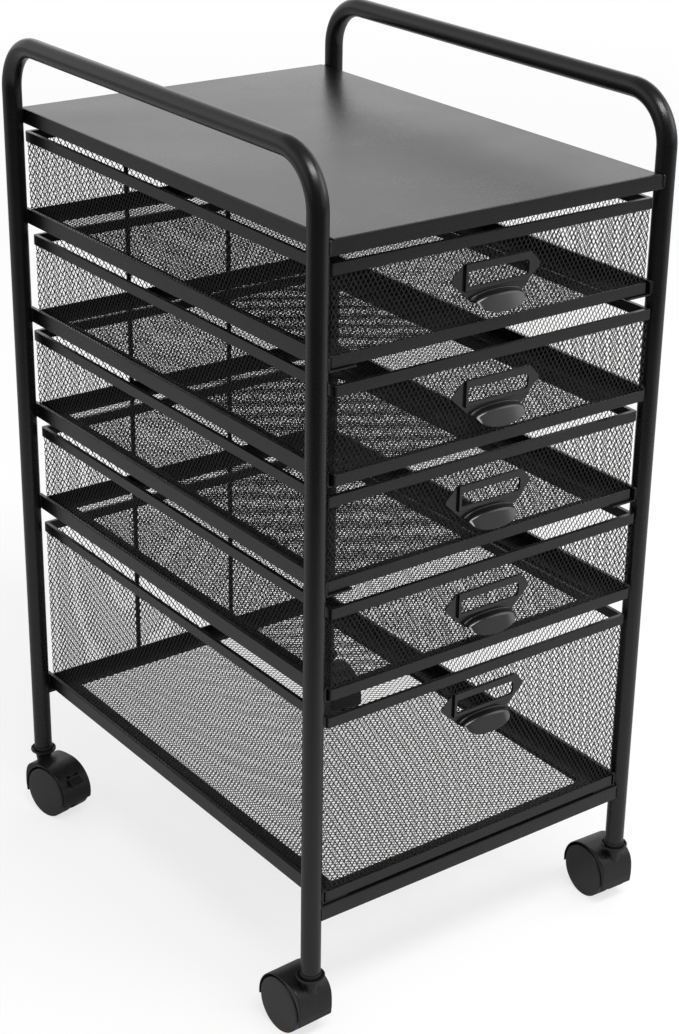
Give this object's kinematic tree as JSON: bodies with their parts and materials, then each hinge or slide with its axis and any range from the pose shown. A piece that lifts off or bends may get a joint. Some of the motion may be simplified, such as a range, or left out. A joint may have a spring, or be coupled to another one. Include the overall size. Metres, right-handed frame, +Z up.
{
  "type": "mobile file cart",
  "caption": "Wheeled office file cart: bent-tube side frames with handle bars, a flat top and sliding mesh drawers with label-holder pulls, on hooded swivel casters.",
  "frame": {"origin": "on the floor, in the middle between the four legs", "axes": "+Z up, -Y the front where the drawers pull out, +X to the right seen from the front"},
  "size_m": [0.3372, 0.4295, 0.6755],
  "materials": {
    "black_powder_coat": "satin powder coat",
    "black_expanded_metal": "satin powder coat on expanded metal",
    "black_plastic": "fine moulded texture",
    "black_wheel_plastic": "smooth moulded",
    "zinc_steel": "zinc plated"
  },
  "bodies": {
    "cart_frame": {"left_side_frame": "black_powder_coat", "right_side_frame": "black_powder_coat", "top_plate": "black_powder_coat", "front_bottom_bar": "black_powder_coat", "rear_bottom_bar": "black_powder_coat", "left_back_rod": "black_powder_coat", "right_back_rod": "black_powder_coat", "runner_1_left": "black_powder_coat", "runner_1_right": "black_powder_coat", "runner_2_left": "black_powder_coat", "runner_2_right": "black_powder_coat", "runner_3_left": "black_powder_coat", "runner_3_right": "black_powder_coat", "runner_4_left": "black_powder_coat", "runner_4_right": "black_powder_coat", "runner_5_left": "black_powder_coat", "runner_5_right": "black_powder_coat", "caster_front_left_socket": "black_plastic", "caster_front_right_socket": "black_plastic", "caster_rear_left_socket": "black_plastic", "caster_rear_right_socket": "black_plastic"},
    "drawer_1": {"drawer_1_base": "black_powder_coat", "drawer_1_rim": "black_powder_coat", "drawer_1_basket": "black_expanded_metal", "drawer_1_pull": "black_powder_coat"},
    "drawer_2": {"drawer_2_base": "black_powder_coat", "drawer_2_rim": "black_powder_coat", "drawer_2_basket": "black_expanded_metal", "drawer_2_pull": "black_powder_coat"},
    "drawer_3": {"drawer_3_base": "black_powder_coat", "drawer_3_rim": "black_powder_coat", "drawer_3_basket": "black_expanded_metal", "drawer_3_pull": "black_powder_coat"},
    "drawer_4": {"drawer_4_base": "black_powder_coat", "drawer_4_rim": "black_powder_coat", "drawer_4_basket": "black_expanded_metal", "drawer_4_pull": "black_powder_coat"},
    "drawer_5": {"drawer_5_base": "black_powder_coat", "drawer_5_rim": "black_powder_coat", "drawer_5_basket": "black_expanded_metal", "drawer_5_pull": "black_powder_coat"},
    "front_left_caster": {"caster_front_left_hood": "black_plastic", "caster_front_left_axle": "zinc_steel"},
    "front_left_wheel_a": {"caster_front_left_wheel_a": "black_wheel_plastic"},
    "front_left_wheel_b": {"caster_front_left_wheel_b": "black_wheel_plastic"},
    "front_right_caster": {"caster_front_right_hood": "black_plastic", "caster_front_right_axle": "zinc_steel"},
    "front_right_wheel_a": {"caster_front_right_wheel_a": "black_wheel_plastic"},
    "front_right_wheel_b": {"caster_front_right_wheel_b": "black_wheel_plastic"},
    "rear_left_caster": {"caster_rear_left_hood": "black_plastic", "caster_rear_left_axle": "zinc_steel"},
    "rear_left_wheel_a": {"caster_rear_left_wheel_a": "black_wheel_plastic"},
    "rear_left_wheel_b": {"caster_rear_left_wheel_b": "black_wheel_plastic"},
    "rear_left_lever": {"caster_rear_left_lever": "black_plastic"},
    "rear_right_caster": {"caster_rear_right_hood": "black_plastic", "caster_rear_right_axle": "zinc_steel"},
    "rear_right_wheel_a": {"caster_rear_right_wheel_a": "black_wheel_plastic"},
    "rear_right_wheel_b": {"caster_rear_right_wheel_b": "black_wheel_plastic"},
    "rear_right_lever": {"caster_rear_right_lever": "black_plastic"}
  },
  "joints": [
    {"name": "drawer_1_slide", "type": "slide", "parent": "cart_frame", "child": "drawer_1", "axis": [0, -1, 0], "range_m": [-0.003, 0.277]},
    {"name": "drawer_2_slide", "type": "slide", "parent": "cart_frame", "child": "drawer_2", "axis": [0, -1, 0], "range_m": [-0.009, 0.271]},
    {"name": "drawer_3_slide", "type": "slide", "parent": "cart_frame", "child": "drawer_3", "axis": [0, -1, 0], "range_m": [-0.0026, 0.2774]},
    {"name": "drawer_4_slide", "type": "slide", "parent": "cart_frame", "child": "drawer_4", "axis": [0, -1, 0], "range_m": [-0.008, 0.272]},
    {"name": "drawer_5_slide", "type": "slide", "parent": "cart_frame", "child": "drawer_5", "axis": [0, -1, 0], "range_m": [-0.0055, 0.2745]},
    {"name": "front_left_swivel", "type": "hinge", "parent": "cart_frame", "child": "front_left_caster", "pos_m": [-0.1515, -0.2, 0.0508], "axis": [0, 0, 1], "continuous": true},
    {"name": "front_left_roll_a", "type": "hinge", "parent": "front_left_caster", "child": "front_left_wheel_a", "pos_m": [-0.15234, -0.18152, 0.022], "axis": [0.999, 0.0454, 0], "continuous": true},
    {"name": "front_left_roll_b", "type": "hinge", "parent": "front_left_caster", "child": "front_left_wheel_b", "pos_m": [-0.15234, -0.18152, 0.022], "axis": [0.999, 0.0454, 0], "continuous": true},
    {"name": "front_right_swivel", "type": "hinge", "parent": "cart_frame", "child": "front_right_caster", "pos_m": [0.1515, -0.2, 0.0508], "axis": [0, 0, 1], "continuous": true},
    {"name": "front_right_roll_a", "type": "hinge", "parent": "front_right_caster", "child": "front_right_wheel_a", "pos_m": [0.15234, -0.18152, 0.022], "axis": [0.999, -0.0454, 0], "continuous": true},
    {"name": "front_right_roll_b", "type": "hinge", "parent": "front_right_caster", "child": "front_right_wheel_b", "pos_m": [0.15234, -0.18152, 0.022], "axis": [0.999, -0.0454, 0], "continuous": true},
    {"name": "rear_left_swivel", "type": "hinge", "parent": "cart_frame", "child": "rear_left_caster", "pos_m": [-0.1515, 0.2, 0.0508], "axis": [0, 0, 1], "continuous": true},
    {"name": "rear_left_roll_a", "type": "hinge", "parent": "rear_left_caster", "child": "rear_left_wheel_a", "pos_m": [-0.14781, 0.18187, 0.022], "axis": [-0.9799, -0.1994, 0], "continuous": true},
    {"name": "rear_left_roll_b", "type": "hinge", "parent": "rear_left_caster", "child": "rear_left_wheel_b", "pos_m": [-0.14781, 0.18187, 0.022], "axis": [-0.9799, -0.1994, 0], "continuous": true},
    {"name": "rear_left_lock", "type": "hinge", "parent": "rear_left_caster", "child": "rear_left_lever", "pos_m": [-0.14385, 0.16241, 0.03751], "axis": [0.9799, 0.1994, 0], "range_deg": [0, 14]},
    {"name": "rear_right_swivel", "type": "hinge", "parent": "cart_frame", "child": "rear_right_caster", "pos_m": [0.1515, 0.2, 0.0508], "axis": [0, 0, 1], "continuous": true},
    {"name": "rear_right_roll_a", "type": "hinge", "parent": "rear_right_caster", "child": "rear_right_wheel_a", "pos_m": [0.14893, 0.18168, 0.022], "axis": [-0.9903, 0.1392, 0], "continuous": true},
    {"name": "rear_right_roll_b", "type": "hinge", "parent": "rear_right_caster", "child": "rear_right_wheel_b", "pos_m": [0.14893, 0.18168, 0.022], "axis": [-0.9903, 0.1392, 0], "continuous": true},
    {"name": "rear_right_lock", "type": "hinge", "parent": "rear_right_caster", "child": "rear_right_lever", "pos_m": [0.14616, 0.16201, 0.03751], "axis": [0.9903, -0.1392, 0], "range_deg": [0, 14]}
  ]
}
